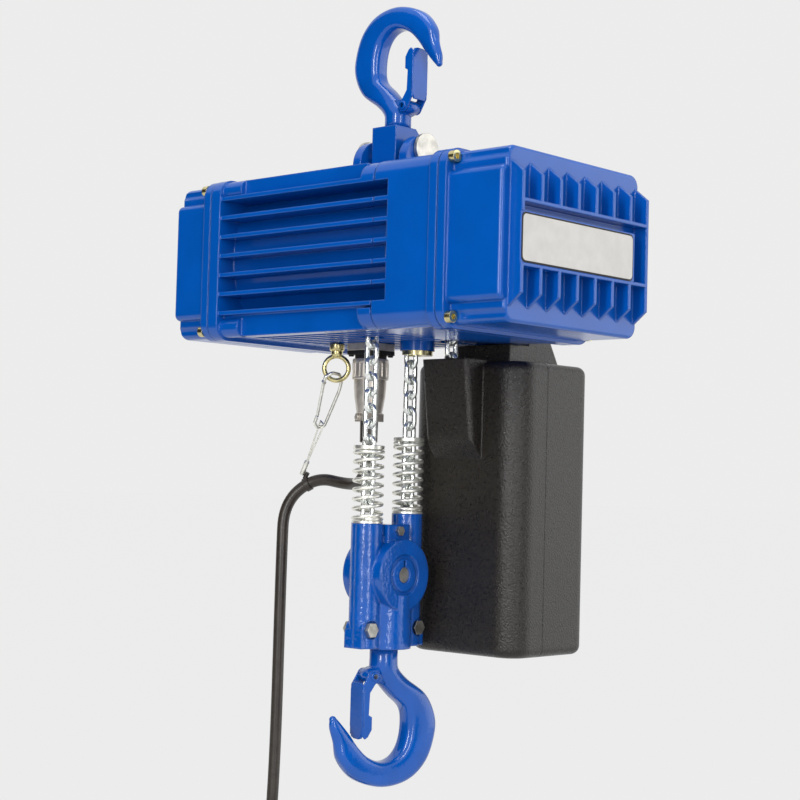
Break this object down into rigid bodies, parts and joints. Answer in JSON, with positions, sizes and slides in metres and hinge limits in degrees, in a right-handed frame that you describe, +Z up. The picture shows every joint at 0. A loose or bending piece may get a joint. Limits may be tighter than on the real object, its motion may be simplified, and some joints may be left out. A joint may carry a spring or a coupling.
{
  "type": "electric chain hoist",
  "caption": "Two-fall electric chain hoist hanging by its top hook, with ribbed motor housing, hook block, chain container and pendant.",
  "frame": {"origin": "seat of the top hook, on the load axis, where the crane's eye bears", "axes": "+Z up along the load axis; +X along the motor axis towards the finned end; the ribbed front faces -Y"},
  "size_m": [0.346, 0.215, 0.9686],
  "materials": {
    "housing_paint": "gloss",
    "block_paint": "orange-peel gloss",
    "gasket": "matte",
    "yellow_zinc": "satin",
    "plate_silver": "satin",
    "bearing_steel": "satin",
    "machined_steel": "satin",
    "chain_zinc": "bright",
    "spring_zinc": "bright",
    "hook_paint": "gloss",
    "latch_paint": "gloss",
    "guide_plastic": "matte",
    "container_plastic": "textured",
    "connector_metal": "satin",
    "cable_rubber": "satin",
    "pendant_plastic": "satin",
    "button_grey": "satin",
    "button_red": "gloss"
  },
  "bodies": {
    "housing": {"motor_housing": "housing_paint", "gear_housing": "housing_paint", "finned_end_cover": "housing_paint", "brake_cover": "housing_paint", "housing_gasket": "gasket", "cover_gaskets": "gasket", "cover_screws": "yellow_zinc", "name_plate": "plate_silver", "stator": "machined_steel", "motor_end_shield": "bearing_steel", "bearings": "bearing_steel", "brake_magnet": "machined_steel", "chain_guide": "guide_plastic", "control_board": "guide_plastic", "suspension_yoke": "housing_paint", "suspension_pins": "bearing_steel", "chain_anchor": "yellow_zinc", "chain_slack": "chain_zinc", "container_front": "container_plastic", "container_rear": "container_plastic", "container_bracket": "container_plastic", "eye_bolt": "yellow_zinc", "carabiner": "spring_zinc", "strain_wire": "spring_zinc", "cable_ties": "cable_rubber", "coil_bands": "cable_rubber", "connector_socket": "connector_metal", "connector_shell": "connector_metal", "control_cable": "cable_rubber", "cable_coil": "cable_rubber", "pendant_front": "pendant_plastic", "pendant_rear": "pendant_plastic"},
    "top_hook_body": {"top_hook": "hook_paint", "top_hook_hardware": "bearing_steel"},
    "top_latch_body": {"top_latch": "latch_paint"},
    "hook_block": {"block_shell_left": "block_paint", "block_shell_right": "block_paint", "block_bolts": "bearing_steel", "sheave_axle": "bearing_steel", "spring_washers": "spring_zinc", "limit_springs": "spring_zinc", "chain_front_fall": "chain_zinc", "chain_rear_fall": "chain_zinc", "load_thrust_bearing": "bearing_steel"},
    "sheave": {"block_sheave": "machined_steel", "sheave_chain": "chain_zinc"},
    "load_hook_body": {"load_hook": "hook_paint", "load_hook_hardware": "bearing_steel"},
    "load_latch_body": {"load_latch": "latch_paint"},
    "wheel": {"chain_wheel": "machined_steel", "wheel_chain": "chain_zinc", "output_gear": "machined_steel"},
    "countershaft_body": {"countershaft": "machined_steel"},
    "rotor_body": {"rotor": "machined_steel", "brake_disc": "machined_steel"},
    "gate": {"carabiner_gate": "spring_zinc"},
    "ring_nut": {"connector_ring": "connector_metal"},
    "up_button": {"button_up": "button_grey"},
    "down_button": {"button_down": "button_grey"},
    "stop_button": {"button_stop": "button_red"}
  },
  "joints": [
    {"name": "top_hook_swivel", "type": "hinge", "parent": "housing", "child": "top_hook_body", "pos_m": [0, 0, 0], "axis": [0, 0, 1], "continuous": true},
    {"name": "top_latch_pivot", "type": "hinge", "parent": "top_hook_body", "child": "top_latch_body", "pos_m": [0.012, 0, -0.0615], "axis": [0, 1, 0], "range_deg": [-35, 0], "stiffness_Nm_per_rad": 0.06, "springref_deg": 17.19},
    {"name": "block_lift", "type": "slide", "parent": "housing", "child": "hook_block", "axis": [0, 0, 1], "range_m": [-0.05, 0.04], "deforming": ["chain_front_fall", "chain_rear_fall"]},
    {"name": "sheave_spin", "type": "hinge", "parent": "hook_block", "child": "sheave", "pos_m": [0, 0, -0.4205], "axis": [1, 0, 0], "range_deg": [-125.12, 125.12]},
    {"name": "load_hook_swivel", "type": "hinge", "parent": "hook_block", "child": "load_hook_body", "pos_m": [0, 0, -0.4705], "axis": [0, 0, 1], "continuous": true},
    {"name": "load_latch_pivot", "type": "hinge", "parent": "load_hook_body", "child": "load_latch_body", "pos_m": [-0.00329, -0.01229, -0.49731], "axis": [0.9659, -0.2588, 0], "range_deg": [0, 35], "stiffness_Nm_per_rad": 0.06, "springref_deg": -17.19},
    {"name": "wheel_spin", "type": "hinge", "parent": "housing", "child": "wheel", "pos_m": [0, 0, -0.1805], "axis": [1, 0, 0], "range_deg": [-250.23, 250.23]},
    {"name": "countershaft_spin", "type": "hinge", "parent": "housing", "child": "countershaft_body", "pos_m": [0.06, 0.0375, -0.1805], "axis": [1, 0, 0], "range_deg": [-1251.16, 1251.16]},
    {"name": "rotor_spin", "type": "hinge", "parent": "housing", "child": "rotor_body", "pos_m": [-0.06, 0, -0.1805], "axis": [1, 0, 0], "range_deg": [-6255.79, 6255.79]},
    {"name": "carabiner_gate_hinge", "type": "hinge", "parent": "housing", "child": "gate", "pos_m": [-0.07, -0.00295, -0.27225], "axis": [-0.8317, 0.1851, 0.5235], "range_deg": [-16, 0], "stiffness_Nm_per_rad": 0.01, "springref_deg": 17.19},
    {"name": "ring_nut_turn", "type": "hinge", "parent": "housing", "child": "ring_nut", "pos_m": [-0.041, 0.02, -0.2605], "axis": [0, 0, 1], "range_deg": [0, 120]},
    {"name": "press_up", "type": "slide", "parent": "housing", "child": "up_button", "axis": [0, 1, 0], "range_m": [0, 0.004], "stiffness_N_per_m": 400},
    {"name": "press_down", "type": "slide", "parent": "housing", "child": "down_button", "axis": [0, 1, 0], "range_m": [0, 0.004], "stiffness_N_per_m": 400},
    {"name": "press_stop", "type": "slide", "parent": "housing", "child": "stop_button", "axis": [0, 1, 0], "range_m": [0, 0.003], "stiffness_N_per_m": 600}
  ],
  "couplings": [
    {"joint": "sheave_spin", "follows": "block_lift", "rad_per_m": -43.63},
    {"joint": "wheel_spin", "follows": "block_lift", "rad_per_m": -87.26},
    {"joint": "countershaft_spin", "follows": "block_lift", "rad_per_m": 436.3},
    {"joint": "rotor_spin", "follows": "block_lift", "rad_per_m": -2181.5}
  ]
}
